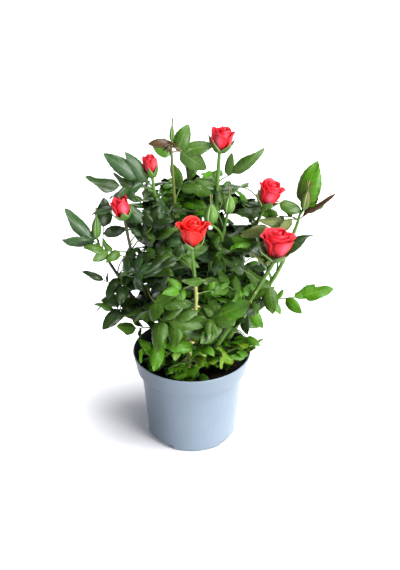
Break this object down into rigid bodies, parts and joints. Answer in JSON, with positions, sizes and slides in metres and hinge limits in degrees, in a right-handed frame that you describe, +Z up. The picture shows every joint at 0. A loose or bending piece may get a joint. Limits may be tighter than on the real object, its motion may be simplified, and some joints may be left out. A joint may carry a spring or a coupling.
{
  "type": "potted miniature rose bush",
  "caption": "Miniature rose bush in its plastic nursery pot: slim canes rise from the soil to red blooms and pointed buds over uneven masses of toothed green leaves",
  "frame": {"origin": "middle of the pot's flat underside, on the surface that the pot stands on", "axes": "+Z up along the pot's axis; -Y is the side that the open blooms face; +X is to the right seen from that side"},
  "size_m": [0.2264, 0.1594, 0.308],
  "materials": {
    "pot_plastic": "pale blue-grey moulded polypropylene with a satin face",
    "peat": "moist dark peat with short fibres",
    "cane_bark": "smooth green to brown rose cane with small thorns",
    "leaf": "semi-gloss dark green leaves with toothed edges",
    "young_leaf": "soft bright green young leaves",
    "petal": "velvety red petals",
    "bud_green": "green sepals closed over a bud"
  },
  "bodies": {
    "root": {"bloom_centre": "petal", "bloom_left": "petal", "bloom_right": "petal", "bloom_top": "petal", "bloom_upper_left": "petal", "bloom_upper_right": "petal", "bud_left": "bud_green", "bud_middle": "bud_green", "bud_middle_right": "bud_green", "bud_right": "bud_green", "bud_top": "bud_green", "cane_back": "cane_bark", "cane_back_left": "cane_bark", "cane_back_right": "cane_bark", "cane_bud_top": "cane_bark", "cane_centre": "cane_bark", "cane_far_left": "cane_bark", "cane_far_right": "cane_bark", "cane_front": "cane_bark", "cane_left": "cane_bark", "cane_right": "cane_bark", "cane_top": "cane_bark", "cane_upper_left": "cane_bark", "cane_upper_right": "cane_bark", "mass_back": "leaf", "mass_back_left": "leaf", "mass_back_right": "leaf", "mass_centre": "leaf", "mass_core": "leaf", "mass_crown_left": "leaf", "mass_crown_right": "leaf", "mass_left_body": "leaf", "mass_left_centre": "leaf", "mass_left_upper": "leaf", "mass_low_front": "young_leaf", "mass_low_left": "young_leaf", "mass_low_right": "young_leaf", "mass_right_body": "leaf", "mass_right_upper": "leaf", "pot": "pot_plastic", "soil": "peat", "spray_bud_left": "leaf", "spray_front_bright": "young_leaf", "spray_left_dark": "leaf", "spray_left_low": "leaf", "spray_left_lower": "leaf", "spray_left_lowest": "leaf", "spray_left_mid": "leaf", "spray_left_tip": "leaf", "spray_right_behind": "leaf", "spray_right_big": "leaf", "spray_right_long": "leaf", "spray_right_low": "leaf", "spray_right_narrow": "leaf", "spray_right_outer": "leaf", "spray_top_centre": "leaf", "spray_top_left": "leaf", "spray_top_right": "leaf", "spray_upper_left": "leaf", "spray_upper_left_side": "leaf"}
  },
  "joints": []
}
